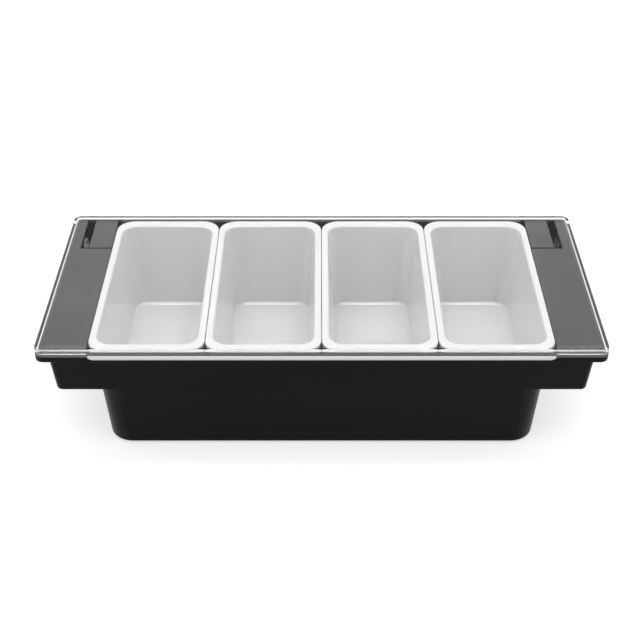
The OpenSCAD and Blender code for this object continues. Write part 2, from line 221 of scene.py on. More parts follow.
def rounded_face(bm, low, high, z, front_radius, rear_radius=None):
    """A flat face that looks up, with round corners."""
    rear_radius = front_radius if rear_radius is None else rear_radius
    corners = bmesh.ops.create_grid(bm, x_segments=1, y_segments=1, size=0.5)["verts"]
    middle = ((low[0] + high[0]) / 2, (low[1] + high[1]) / 2)
    bmesh.ops.scale(bm, vec=(high[0] - low[0], high[1] - low[1], 1), verts=corners)
    bmesh.ops.translate(bm, vec=(*middle, z), verts=corners)
    front = [v for v in corners if v.co.y < middle[1]]
    rear = [v for v in corners if v.co.y > middle[1]]
    for verts, radius in ((front, front_radius), (rear, rear_radius)):
        made = bmesh.ops.bevel(bm, geom=verts, offset=radius, offset_type="OFFSET", segments=ARC_STEPS,
                               profile=0.5, affect="VERTICES", material=-1)
    return made["verts"][0].link_faces[0]


def walled(bm, face, steps):
    """Takes a face through steps of (inwards, upwards) and leaves a wall behind it."""
    for inwards, upwards in steps:
        bmesh.ops.inset_region(bm, faces=[face], thickness=inwards, depth=upwards,
                               use_even_offset=True, use_boundary=True)
    return face


def drawn(bm, face, low, high, z, radius):
    """Takes a face to another rounded outline at height z and leaves a wall behind it."""
    edges = list(face.edges)
    bmesh.ops.delete(bm, geom=[face], context="FACES_ONLY")
    end = rounded_face(bm, low, high, z, radius)
    bmesh.ops.bridge_loops(bm, edges=edges + list(end.edges))
    return end


def arc_steps(radius, way, starts_upright):
    """Steps round a quarter circle. way is 1 to go up and -1 to go down."""
    steps = []
    for k in range(EDGE_STEPS):
        a, b = (math.pi / 2 * t / EDGE_STEPS for t in (k, k + 1))
        flat = radius * (math.sin(b) - math.sin(a))
        round_off = radius * (math.cos(a) - math.cos(b))
        steps.append((round_off, way * flat) if starts_upright else (flat, way * round_off))
    return steps


def level_at(edge, z):
    return all(abs(v.co.z - z) < SAME_PLACE for v in edge.verts)


def level_edges(edges):
    return [e for e in edges if level_at(e, e.verts[0].co.z)]


def open_edges(bm, z=None):
    """The edges of one face only, at height z if one is given."""
    edges = [e for e in bm.edges if e.is_boundary]
    return [e for e in edges if z is None or level_at(e, z)]


def solid(low, high, z, steps, front_radius, rear_radius=None):
    """A closed solid whose widest face lies at height z and whose wall goes through the steps."""
    bm = bmesh.new()
    walled(bm, rounded_face(bm, low, high, z, front_radius, rear_radius), steps)
    bmesh.ops.edgeloop_fill(bm, edges=open_edges(bm))
    bmesh.ops.recalc_face_normals(bm, faces=bm.faces)
    return bm


def divided(bm, xs, ys):
    """Cuts through the faces at these places, so that a hole made later leaves no ring-shaped face."""
    for axis, places in enumerate((xs, ys)):
        for place in places:
            normal = Vector((axis == 0, axis == 1, 0))
            bmesh.ops.bisect_plane(bm, geom=bm.verts[:] + bm.edges[:] + bm.faces[:], plane_co=normal * place,
                                   plane_no=normal, dist=ON_PLANE)
    return bm


def soften(bm, width, edges, segments=BEVEL_STEPS):
    """Rounds these edges off, where their faces meet at a sharp angle."""
    sharp = [e for e in edges if e.calc_face_angle() > SHARP_ANGLE]
    bmesh.ops.bevel(bm, geom=sharp, offset=width, offset_type="OFFSET", segments=segments, profile=0.5,
                    affect="EDGES", material=-1)


def block(low, high, bevel=0.0):
    bm = bmesh.new()
    bmesh.ops.create_cube(bm, size=1)
    low, high = Vector(low), Vector(high)
    bmesh.ops.scale(bm, vec=high - low, verts=bm.verts)
    bmesh.ops.translate(bm, vec=(low + high) / 2, verts=bm.verts)
    if bevel:
        soften(bm, bevel, bm.edges)
    return bm


def rod(start, end, radius, segments=ROD_STEPS):
    """A cylinder between two points."""
    start, end = Vector(start), Vector(end)
    bm = bmesh.new()
    turn = (end - start).to_track_quat("Z", "Y").to_matrix().to_4x4()
    bmesh.ops.create_cone(bm, cap_ends=True, segments=segments, radius1=radius, radius2=radius,
                          depth=(end - start).length, matrix=Matrix.Translation((start + end) / 2) @ turn)
    return bm


def extruded(points, x, width, rounded):
    """An outline of (y, z) points, drawn at x and extruded along X. rounded has pairs of corners and
    their radius."""
    bm = bmesh.new()
    verts = [bm.verts.new((x, y, z)) for y, z in points]
    bm.faces.new(verts)
    for corners, radius in rounded:
        bmesh.ops.bevel(bm, geom=[verts[k] for k in corners], offset=radius, offset_type="OFFSET",
                        segments=ARC_STEPS, profile=0.5, affect="VERTICES", material=-1)
    bmesh.ops.remove_doubles(bm, verts=bm.verts, dist=SAME_PLACE)
    face = next(iter(bm.faces))
    moved = bmesh.ops.extrude_face_region(bm, geom=[face])["geom"]
    bmesh.ops.translate(bm, vec=(width, 0, 0), verts=[v for v in moved if isinstance(v, bmesh.types.BMVert)])
    bmesh.ops.recalc_face_normals(bm, faces=bm.faces)
    return bm


def mirrored(bm):
    """The same solid on the other side of the middle plane."""
    other = bm.copy()
    bmesh.ops.scale(other, vec=(-1, 1, 1), verts=other.verts)
    bmesh.ops.recalc_face_normals(other, faces=other.faces)
    return other


def both_sides(bm):
    return [bm, mirrored(bm)]


def carried(bm):
    """A bmesh as a scene object, for a modifier to read."""
    mesh = bpy.data.meshes.new("shaping")
    bm.to_mesh(mesh)
    bm.free()
    obj = bpy.data.objects.new("shaping", mesh)
    bpy.context.scene.collection.objects.link(obj)
    return obj


def combined(bm, others, operation):
    """Adds ("UNION") or cuts ("DIFFERENCE") closed solids, one after the other."""
    for other in others:
        target, tool = carried(bm), carried(other)
        change = target.modifiers.new("change", "BOOLEAN")
        change.operation, change.solver, change.object = operation, "EXACT", tool
        bpy.context.view_layer.update()
        bm = bmesh.new()
        bm.from_object(target, bpy.context.evaluated_depsgraph_get())
        for obj in (target, tool):
            mesh = obj.data
            bpy.data.objects.remove(obj)
            bpy.data.meshes.remove(mesh)
    return bm


def piece(name, bm, material, body, node):
    """Turns a bmesh into a finished piece that stands for a CAD node. Edges marked as not smooth stay
    sharp."""
    bmesh.ops.remove_doubles(bm, verts=bm.verts, dist=SAME_PLACE)
    mesh = bpy.data.meshes.new(name)
    bm.to_mesh(mesh)
    creased = [k for k, edge in enumerate(bm.edges) if not edge.smooth]
    bm.free()
    mesh.shade_smooth()
    mesh.set_sharp_from_angle(angle=SHARP_ANGLE)
    for k in creased:
        mesh.edges[k].use_edge_sharp = True
    mesh.materials.append(material)
    obj = bpy.data.objects.new(name, mesh)
    bpy.context.scene.collection.objects.link(obj)
    normals = obj.modifiers.new("normals", "WEIGHTED_NORMAL")
    normals.keep_sharp = True
    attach(obj, body)
    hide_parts(node)
    return obj


# ---------------------------------------------------------------------------
# Finishes
# ---------------------------------------------------------------------------

class Link:
    """An output socket that takes part in sums: each operator adds one Math node."""

    def __init__(self, graph, socket):
        self.graph, self.socket = graph, socket

    def _math(self, operation, *values):
        return self.graph.node("ShaderNodeMath", {"operation": operation}, dict(enumerate(values)))

    def __add__(self, other):
        return self._math("ADD", self, other)

    def __sub__(self, other):
        return self._math("SUBTRACT", self, other)

    def __rsub__(self, other):
        return self._math("SUBTRACT", other, self)

    def __mul__(self, other):
        return self._math("MULTIPLY", self, other)

    __radd__, __rmul__ = __add__, __mul__

    def clamped(self):
        return self.graph.node("ShaderNodeMath", {"operation": "ADD", "use_clamp": True}, {0: self, 1: 0.0})


class Graph:
    """The node tree of one material or world."""

    def __init__(self, owner):
        owner.use_nodes = True
        self.tree = owner.node_tree
        self.tree.nodes.clear()

    def node(self, kind, settings=None, values=None, out=0, stops=()):
        """Adds a node: its settings or a ramp's stops first, then the values or links of its sockets."""
        made = self.tree.nodes.new(kind)
        for key, value in (settings or {}).items():
            setattr(made, key, value)
        for index, (place, level) in enumerate(stops):
            elements = made.color_ramp.elements
            element = elements[index] if index < len(elements) else elements.new(place)
            element.position, element.color = place, (level, level, level, 1.0)
        for key, value in (values or {}).items():
            if isinstance(value, Link):
                self.tree.links.new(value.socket, made.inputs[key])
            else:
                made.inputs[key].default_value = value
        return Link(self, made.outputs[out]) if len(made.outputs) else made

    def rising(self, factor, low, high):
        """0 up to low, 1 from high on, and a straight ramp between them."""
        stops = ((low, 0.0), (high, 1.0))
        return self.node("ShaderNodeValToRGB", values={"Fac": factor}, out="Color", stops=stops)

    def within(self, distance, edge):
        """0 where a distance is negative and 1 where it is more than the width of the edge."""
        return (distance * (1 / edge)).clamped()

    def place(self):
        return self.node("ShaderNodeTexCoord", out="Object")

    def along(self, axis):
        """The distance of a point from the object's origin along X, Y or Z, in metres."""
        return self.node("ShaderNodeSeparateXYZ", values={"Vector": self.place()}, out=axis)

    def seen_white(self):
        """1 for the rays that see the stage as the camera does, and 0 for those that only light it."""
        rays = [self.node("ShaderNodeLightPath", out="Is " + kind + " Ray")
                for kind in ("Camera", "Glossy", "Transmission")]
        return (rays[0] + rays[1] + rays[2]).clamped()

    def noise(self, scale, detail=4.0, rough=0.55, stretch=(1, 1, 1)):
        """Noise between 0 and 1 over the object's own coordinates; scale is per metre."""
        at = self.node("ShaderNodeMapping", values={"Vector": self.place(), "Scale": stretch})
        values = {"Vector": at, "Scale": scale, "Detail": detail, "Roughness": rough}
        return self.node("ShaderNodeTexNoise", values=values, out="Fac")

    def mix(self, factor, first, second):
        """A colour between two others; the numbers are the colour sockets of a Mix node."""
        return self.node("ShaderNodeMix", {"data_type": "RGBA"}, {0: factor, 6: first, 7: second}, out=2)

    def bump(self, height, distance, strength):
        values = {"Height": height, "Distance": distance, "Strength": strength}
        return self.node("ShaderNodeBump", values=values)

    def surface(self, shader):
        self.node("ShaderNodeOutputMaterial", values={"Surface": shader})


def opaque(colour):
    return (*colour, 1.0)


def shade(colour, level):
    """The colour, darker or lighter by a factor."""
    return opaque(part * level for part in colour)


def grey(level):
    return opaque((level,) * 3)


def moulded_black(name, colour, gloss):
    """Black moulded plastic: a fine satin grain, faint flow marks and rubbed patches."""
    smooth, rub, streak, flow_tint = 0.25, 0.08, 0.05, 1.5
    grain_share, grain_height, grain_strength = 0.6, 0.02 * MM, 0.35
    material = bpy.data.materials.new(name)
    g = Graph(material)
    flow = g.noise(scale=9.0, detail=3.0, stretch=(0.4, 1.0, 1.6))
    rubbed = g.noise(scale=38.0, detail=6.0, rough=0.65)
    grain = g.noise(scale=2600.0, detail=2.0)
    base = g.mix(g.rising(flow, low=0.35, high=0.7), opaque(colour), shade(colour, flow_tint))
    relief = grain * grain_share + rubbed * (1 - grain_share)
    g.surface(g.node("ShaderNodeBsdfPrincipled", values={
        "Base Color": base, "Roughness": smooth + rub * rubbed + streak * flow,
        "Normal": g.bump(relief, grain_height, grain_strength), "Specular IOR Level": gloss}))
    return material


def moulded_white(colour):
    """White moulded plastic: semi-gloss, with a very fine grain and faintly darker clouds."""
    smooth, rub, cloud_tint, gloss = 0.12, 0.06, 0.985, 0.5
    grain_share, grain_height, grain_strength = 0.5, 0.03 * MM, 0.3
    material = bpy.data.materials.new("moulded_white")
    g = Graph(material)
    cloud = g.noise(scale=14.0, detail=3.0)
    grain = g.noise(scale=1900.0, detail=2.0)
    wear = g.noise(scale=60.0, detail=5.0, rough=0.6)
    base = g.mix(g.rising(cloud, low=0.3, high=0.75), opaque(colour), shade(colour, cloud_tint))
    relief = grain * grain_share + wear * (1 - grain_share)
    g.surface(g.node("ShaderNodeBsdfPrincipled", values={
        "Base Color": base, "Roughness": smooth + rub * wear,
        "Normal": g.bump(relief, grain_height, grain_strength), "Specular IOR Level": gloss}))
    return material


def moulded_clear(colour, index, grip_rear, pane):
    """Clear moulded plastic. The grip in front of grip_rear is frosted, the arms under the pane have
    patches of frost as painted highlights, and the pane, a box (low, high), mirrors little. Rays from lamps
    pass through."""
    smooth, haze_rough, calm_rough = 0.008, 0.02, 0.01
    mirror_tint, calm_share, shadow_tint, frost_and_glint_tint = 0.15, 0.8, 0.94, 0.68
    wave_height, wave_strength = 0.1 * MM, 0.2
    pane_edge, grip_edge, arm_depth = 0.5 * MM, 0.4 * MM, 4 * MM
    grip_least, grip_haze = 0.85, 0.3
    material = bpy.data.materials.new("moulded_clear")
    g = Graph(material)
    haze = g.noise(scale=45.0, detail=5.0, rough=0.6)
    wave = g.noise(scale=16.0, detail=1.0)
    glass = g.node("ShaderNodeBsdfPrincipled", values={
        "Base Color": opaque(colour), "Roughness": smooth + haze_rough * haze, "IOR": index,
        "Transmission Weight": 1.0, "Specular Tint": grey(mirror_tint),
        "Normal": g.bump(wave, wave_height, wave_strength)})
    inside = 1.0
    for axis, low, high in zip("XYZ", *pane):
        place = g.along(axis)
        inside = g.within(place - low, pane_edge) * g.within(high - place, pane_edge) * inside
    calm = g.node("ShaderNodeBsdfRefraction", values={
        "Color": opaque(colour), "IOR": index, "Roughness": calm_rough})
    glass = g.node("ShaderNodeMixShader", values={0: inside * calm_share, 1: glass, 2: calm})
    through = g.node("ShaderNodeBsdfTransparent", values={"Color": shade(colour, shadow_tint)})
    shadow = g.node("ShaderNodeLightPath", out="Is Shadow Ray")
    # frost: the grip's real frosted finish, and on the arms painted highlights
    frost_and_glint = g.node("ShaderNodeBsdfDiffuse", values={"Color": grey(frost_and_glint_tint)})
    grip = g.within(grip_rear - g.along("Y"), grip_edge) * (grip_least + grip_haze * haze)
    # painted highlights: noisy patches of frost on the arms below the pane stand in for the bright
    # refraction highlights on the clear arms
    marks = g.rising(g.noise(scale=120.0, detail=2.0, stretch=(1, 1, 0.3)), low=0.45, high=0.55)
    arms = g.within(pane[0][2] - arm_depth - g.along("Z"), pane_edge) * marks
    glass = g.node("ShaderNodeMixShader", values={0: (grip + arms).clamped(), 1: glass, 2: frost_and_glint})
    g.surface(g.node("ShaderNodeMixShader", values={0: shadow, 1: glass, 2: through}))
    return material


def turned_steel():
    """Plain steel with turning marks."""
    dark, light = (0.52, 0.52, 0.54), (0.66, 0.66, 0.68)
    smooth, turned, mark_height, mark_strength = 0.22, 0.16, 0.03 * MM, 0.4
    material = bpy.data.materials.new("turned_steel")
    g = Graph(material)
    marks = g.noise(scale=500.0, detail=3.0, stretch=(1, 6, 6))
    g.surface(g.node("ShaderNodeBsdfPrincipled", values={
        "Base Color": g.mix(marks, opaque(dark), opaque(light)), "Roughness": smooth + turned * marks,
        "Metallic": 1.0, "Normal": g.bump(marks, mark_height, mark_strength)}))
    return material


def soft_rubber():
    """Matt black rubber."""
    dark, light, gloss = (0.018, 0.018, 0.018), (0.035, 0.035, 0.034), 0.3
    smooth, worn, grain_height, grain_strength = 0.75, 0.15, 0.1 * MM, 0.5
    material = bpy.data.materials.new("soft_rubber")
    g = Graph(material)
    grain = g.noise(scale=900.0, detail=4.0)
    g.surface(g.node("ShaderNodeBsdfPrincipled", values={
        "Base Color": g.mix(grain, opaque(dark), opaque(light)), "Roughness": smooth + worn * grain,
        "Normal": g.bump(grain, grain_height, grain_strength), "Specular IOR Level": gloss}))
    return material


def finish(name, make, *arguments):
    """A material, made the first time that it is asked for."""
    return bpy.data.materials.get(name) or make(*arguments)


def black():
    body = bpy.context.scene.caddy_body
    return finish("moulded_black", moulded_black, "moulded_black", body.colour, body.gloss)


def satin():
    deck = bpy.context.scene.caddy_deck
    # the deck's black carries painted sheen: it is lightened to stand in for top light and the lid's
    # reflection
    return finish("satin_black", moulded_black, "satin_black", deck.colour, deck.gloss)


def white():
    return finish("moulded_white", moulded_white, bpy.context.scene.caddy_insert.colour)


def clear():
    lid = bpy.context.scene.caddy_lid
    border = lid.skirt + 2 * lid.inner_edge
    front = LID_LOW.y + lid.lip_reach
    pane = ((LID_LOW.x + border, front + border, LID_HIGH.z - lid.plate - lid.bevel),
            (LID_HIGH.x - border, LID_HIGH.y - border, LID_HIGH.z + PAST))
    return finish("moulded_clear", moulded_clear, lid.colour, lid.index, LID_LOW.y + lid.grip, pane)


def dress(node, material):
    slots = frame["nodes"][node].data.materials
    slots.clear()
    slots.append(material)


# ---------------------------------------------------------------------------
# Body
# ---------------------------------------------------------------------------

class Walls:
    """Where the body's walls stand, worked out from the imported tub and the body's sizes."""

    def __init__(self):
        body = bpy.context.scene.caddy_body
        self.body = body
        self.slope = math.tan(body.draft)
        self.flange_top = TUB_HIGH.z
        self.flange_low = TUB_HIGH.z - body.flange
        self.half = TUB_HIGH.x - body.side_overhang
        self.front = TUB_LOW.y + body.front_overhang
        self.rear = TUB_HIGH.y - body.rear_overhang

    def fall(self, z):
        """How far a wall has come in, at height z."""
        return self.slope * (self.flange_low - z)


def tapered(walls, half, z, bottom, corner, edge, end_angle, inset=0.0):
    """A solid that narrows downwards from height z and ends in a round lower edge."""
    bm = bmesh.new()
    top_in = walls.fall(z) + inset
    top = rounded_face(bm, (-half, walls.front + top_in), (half, walls.rear - top_in), z, corner)
    upper_edges = list(top.edges)
    drop = z - bottom - edge
    low_half, low_in = half - math.tan(end_angle) * drop, top_in + walls.slope * drop
    low = drawn(bm, top, (-low_half, walls.front + low_in), (low_half, walls.rear - low_in), z - drop,
                corner)
    walled(bm, low, arc_steps(edge, -1, True))
    bmesh.ops.edgeloop_fill(bm, edges=upper_edges)
    bmesh.ops.recalc_face_normals(bm, faces=bm.faces)
    return bm


def screw_places():
    """The middles of the right-hand screws, seen from above."""
    boxes = [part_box(node) for node in ("frame_screw_3", "frame_screw_4", "block_screw_right")]
    return [((low.x + high.x) / 2, (low.y + high.y) / 2, low.z, high.z) for low, high in boxes]


def shape_body():
    walls = Walls()
    body = walls.body
    flange_steps = [(0, body.flange_edge - body.flange)] + arc_steps(body.flange_edge, -1, True)
    screws = screw_places()
    xs = [0] + [side * x for side in (-1, 1) for x, *_ in screws[1:]]
    ys = [y for _, y, *_ in screws]
    flange = solid(TUB_LOW.xy, TUB_HIGH.xy, walls.flange_top, flange_steps, body.front_corner,
                   body.rear_corner)
    divided(flange, xs, ys)
    overlap, mouth_corner, sunk = 2 * MM, 3 * MM, 0.1 * MM
    step_top = walls.flange_low + overlap
    step = tapered(walls, walls.half, step_top, body.step_height, body.step_corner, body.step_edge,
                   body.step_slope)
    divided(step, xs, ys)
    tub_top = body.step_height + 2 * body.step_edge
    tub = tapered(walls, body.tub_half, tub_top, TUB_LOW.z, body.tub_corner, body.tub_edge,
                  body.tub_slope, -SHY)
    bm = combined(flange, [step, tub], "UNION")

    slot_out = PIN_HIGH.x
    seat_front, seat_rear = ROW_LOW.y + body.seat, ROW_HIGH.y - body.seat
    mouth_steps = [(0, -(body.flange + overlap))]
    mouth = solid((-slot_out, seat_front), (slot_out, seat_rear), walls.flange_top + PAST, mouth_steps,
                  mouth_corner)
    step_room = tapered(walls, walls.half - body.wall, walls.flange_low, body.step_height + body.wall,
                        body.step_corner, body.wall, body.step_slope, body.wall)
    divided(step_room, xs, ys)
    tub_room = tapered(walls, body.tub_half - body.wall, tub_top, TUB_LOW.z + body.wall,
                       body.tub_corner - body.wall, body.tub_edge - body.wall, body.tub_slope,
                       body.wall + SHY)
    bm = combined(bm, [mouth, step_room, tub_room], "DIFFERENCE")

    boss_end = walls.half - body.wall - body.flange_edge
    boss = rod((slot_out - body.wall, PIVOT.y, PIVOT.z), (boss_end, PIVOT.y, PIVOT.z), body.boss)
    pads = [rod((x, y, body.step_height + body.wall - sunk), (x, y, BLOCK_LOW.z),
                body.counterbore + body.wall) for x, y, *_ in screws]
    for post in [boss] + pads:
        bm = combined(bm, both_sides(post), "UNION")
    slot = block((BLOCK_LOW.x - bpy.context.scene.caddy_deck.gap, seat_rear - PAST, walls.flange_low - PAST),
                 (slot_out - SHY, walls.rear - body.wall - SHY, walls.flange_top + 2 * PAST))
    bm = combined(bm, both_sides(slot), "DIFFERENCE")
    for x, y, z_head, _ in screws:
        pocket = rod((x, y, body.step_height - PAST), (x, y, z_head + body.wall), body.counterbore)
        hole = rod((x, y, body.step_height - PAST), (x, y, BLOCK_LOW.z + PAST), body.screw_hole)
        bm = combined(bm, both_sides(pocket) + both_sides(hole), "DIFFERENCE")
    return piece("body_shell", bm, black(), "base", "body_tub")


class CADDY_OT_body(bpy.types.Operator):
    """Shape the stepped body with its flange"""
    bl_idname = "caddy.body"
    bl_label = "Body"

    def execute(self, context):
        shape_body()
        return {"FINISHED"}


# ---------------------------------------------------------------------------
# Deck and hinge blocks
# ---------------------------------------------------------------------------

def opening(deck, low, high, soft):
    """A cutter for an opening whose upper edge is rounded over."""
    corner = 2 * soft
    steps = [(0, -PAST)] + arc_steps(soft, -1, False) + [(0, -deck.plate)]
    return solid((low[0] - soft, low[1] - soft), (high[0] + soft, high[1] + soft), DECK_HIGH.z + PAST,
                 steps, corner)


def shape_deck():
    deck = bpy.context.scene.caddy_deck
    body = bpy.context.scene.caddy_body
    inset = TUB_HIGH.x - DECK_HIGH.x
    base = DECK_HIGH.z - deck.plate
    steps = [(0, deck.plate - deck.edge)] + arc_steps(deck.edge, 1, True)
    bm = solid(DECK_LOW.xy, DECK_HIGH.xy, base, steps, body.front_corner - inset, body.rear_corner - inset)
    screws = screw_places()[:2]
    divided(bm, [0] + [side * screws[0][0] for side in (-1, 1)], [y for _, y, *_ in screws])
    slot_front = BLOCK_LOW.y - deck.gap
    row = opening(deck, (ROW_LOW.x - deck.gap, ROW_LOW.y - deck.gap),
                  (ROW_HIGH.x + deck.gap, ROW_HIGH.y + deck.gap), deck.bevel)
    slot = opening(deck, (ROW_HIGH.x - deck.plate, slot_front), (PIN_HIGH.x, TUB_HIGH.y - deck.slot_strip),
                   deck.slot_bevel)
    bm = combined(bm, [row] + both_sides(slot), "DIFFERENCE")
    walls = Walls()
    curtain_x = ROW_HIGH.x + deck.gap
    curtain_front = walls.front + walls.fall(body.step_height) + body.wall + deck.curtain_gap
    curtain = block((curtain_x, curtain_front, DECK_LOW.z),
                    (curtain_x + deck.curtain, slot_front, base + deck.edge))
    parts = both_sides(curtain)
    for x, y, *_ in screws:
        parts += both_sides(rod((x, y, DECK_LOW.z + deck.plate), (x, y, base + deck.edge), deck.post))
    bm = combined(bm, parts, "UNION")
    return piece("deck", bm, satin(), "base", "deck_frame")


def shape_hinge_block(name, side):
    deck = bpy.context.scene.caddy_deck
    body = bpy.context.scene.caddy_body
    soft = deck.slot_bevel
    overlap, boss_end = MM, BLOCK_HIGH.x
    block_out = PIN_HIGH.x - body.slot_width - deck.gap / 2
    walls = Walls()
    rear = walls.rear - body.wall - walls.fall(BLOCK_LOW.z) - deck.gap
    front = BLOCK_LOW.y + deck.seam
    main = block((BLOCK_LOW.x, front, BLOCK_LOW.z), (block_out, rear, BLOCK_HIGH.z), soft)
    tail = block((BLOCK_LOW.x, rear - body.boss, BLOCK_HIGH.z - deck.plate),
                 (block_out, BLOCK_HIGH.y, BLOCK_HIGH.z), soft)
    room_low = (BLOCK_LOW.x + body.wall, front + body.wall, BLOCK_LOW.z - PAST)
    room = block(room_low, (block_out - body.wall, PIVOT.y - body.boss - overlap,
                            BLOCK_HIGH.z - body.wall))
    x, y, _, z_tip = screw_places()[2]
    post = rod((x, y, BLOCK_LOW.z), (x, y, BLOCK_HIGH.z - body.wall / 2), deck.post)
    hole = rod((x, y, BLOCK_LOW.z - PAST), (x, y, z_tip + PAST), body.screw_hole)
    boss = rod((block_out - overlap, PIVOT.y, PIVOT.z), (boss_end, PIVOT.y, PIVOT.z), body.boss)
    bore = rod((BLOCK_LOW.x - PAST, PIVOT.y, PIVOT.z), (boss_end + PAST, PIVOT.y, PIVOT.z),
               PIN_RADIUS + SHY)
    main = combined(main, [room], "DIFFERENCE")
    bm = combined(combined(main, [post, tail, boss], "UNION"), [bore, hole], "DIFFERENCE")
    if side < 0:
        bm = mirrored(bm)
    return piece(name, bm, satin(), "base", "hinge_block_" + name.split("_")[-1])


class CADDY_OT_deck(bpy.types.Operator):
    """Shape the deck that closes the body around the row of inserts"""
    bl_idname = "caddy.deck"
    bl_label = "Deck"

    def execute(self, context):
        shape_deck()
        return {"FINISHED"}


class CADDY_OT_hinges(bpy.types.Operator):
    """Shape the two hinge blocks and finish their pins"""
    bl_idname = "caddy.hinges"
    bl_label = "Hinges"

    def execute(self, context):
        for name, side in SIDES.items():
            shape_hinge_block("hinge_carrier_" + name, side)
            dress("hinge_pin_" + name, finish("turned_steel", turned_steel))
        return {"FINISHED"}


# ---------------------------------------------------------------------------
# Inserts
# ---------------------------------------------------------------------------

def shape_insert(node):
    insert = bpy.context.scene.caddy_insert
    slope = math.tan(bpy.context.scene.caddy_body.draft)
    low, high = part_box(node)
    top, under = high.z, high.z - insert.rim
    side, end = insert.rim_side - insert.mouth_edge, insert.rim_end - insert.mouth_edge
    bm = bmesh.new()

    mouth = rounded_face(bm, (low.x + side, low.y + end), (high.x - side, high.y - end), top,
                         insert.mouth_corner + insert.mouth_edge)
    walled(bm, mouth, arc_steps(insert.mouth_edge, -1, False))
    strip = (insert.chamfer, -insert.chamfer * math.tan(insert.chamfer_slope))
    drop = insert.depth - insert.mouth_edge - insert.floor_edge + strip[1]
    side, end = (width + slope * drop for width in (insert.rim_side, insert.rim_end))
    inside = drawn(bm, mouth, (low.x + side, low.y + end), (high.x - side, high.y - end),
                   top - insert.mouth_edge - drop, insert.mouth_corner)
    floor = walled(bm, inside, arc_steps(insert.floor_edge, -1, True) + [strip])
    # sharp edges beside the strip keep it flat in the shading
    strips = [face for edge in floor.edges for face in edge.link_faces]
    for edge in level_edges([e for face in strips for e in face.edges]):
        edge.smooth = False

    rim_corner = insert.mouth_corner + insert.rim_side / 2
    rim = rounded_face(bm, low.xy, high.xy, under, rim_corner)
    rim_steps = [(0, insert.rim - insert.rim_edge)] + arc_steps(insert.rim_edge, 1, True)
    bmesh.ops.delete(bm, geom=[walled(bm, rim, rim_steps)], context="FACES_ONLY")
    bmesh.ops.bridge_loops(bm, edges=open_edges(bm, top))

    above = set(bm.faces)
    recess = under + insert.recess
    hollow = rounded_face(bm, low.xy, high.xy, under, rim_corner)
    hollow = walled(bm, hollow, [(insert.lip, 0), (0, insert.recess)])
    bmesh.ops.delete(bm, geom=[hollow], context="FACES_ONLY")
    side, end = insert.rim_side - insert.wall, insert.rim_end - insert.wall
    outside = rounded_face(bm, (low.x + side, low.y + end), (high.x - side, high.y - end), recess,
                           insert.mouth_corner + insert.wall)
    outer_edge = insert.floor_edge + insert.wall
    drop = recess - low.z - outer_edge
    side, end = side + slope * drop, end + slope * drop
    outside = drawn(bm, outside, (low.x + side, low.y + end), (high.x - side, high.y - end),
                    low.z + outer_edge, insert.mouth_corner + insert.wall)
    walled(bm, outside, arc_steps(outer_edge, -1, True))
    bmesh.ops.reverse_faces(bm, faces=[face for face in bm.faces if face not in above])
    bmesh.ops.bridge_loops(bm, edges=open_edges(bm, recess))
    bmesh.ops.remove_doubles(bm, verts=bm.verts, dist=SAME_PLACE)
    bmesh.ops.recalc_face_normals(bm, faces=bm.faces)
    return piece("white_" + node, bm, white(), "base", node)


class CADDY_OT_inserts(bpy.types.Operator):
    """Shape the four lift-out inserts"""
    bl_idname = "caddy.inserts"
    bl_label = "Inserts"

    def execute(self, context):
        for node in INSERTS:
            shape_insert(node)
        return {"FINISHED"}


# ---------------------------------------------------------------------------
# Lid
# ---------------------------------------------------------------------------

def from_open_lid(y, z):
    """A point fixed to the body, seen from the open lid: both are measured from the pin."""
    cos, sin = math.cos(LID_OPEN), math.sin(LID_OPEN)
    return (y * cos - z * sin, y * sin + z * cos)


def arm_outline(lid, plate_low):
    """The gooseneck: it runs forward from the eye and rises to the lid's plate."""
    walls = Walls()
    wall_y, wall_z = from_open_lid(walls.rear - walls.body.wall - PIVOT.y, walls.flange_top - PIVOT.z)
    room_y, room_z, chamfer, overlap = 1.6 * MM, 0.5 * MM, 4 * MM, 0.1 * MM
    stop_y, stop_z = wall_y - room_y, wall_z - room_z
    heel = lid.eye + lid.heel
    riser_rear = lid.riser - lid.arm_reach
    top = plate_low - PIVOT.z + overlap
    points = ((lid.eye, lid.eye), (0, lid.eye), (stop_y, stop_z), (riser_rear, stop_z + lid.arm),
              (riser_rear, top), (-lid.arm_reach, top), (-lid.arm_reach, chamfer - heel),
              (chamfer - lid.arm_reach, -heel), (0, -lid.eye), (lid.eye, -lid.eye))
    return [(PIVOT.y + y, PIVOT.z + z) for y, z in points]


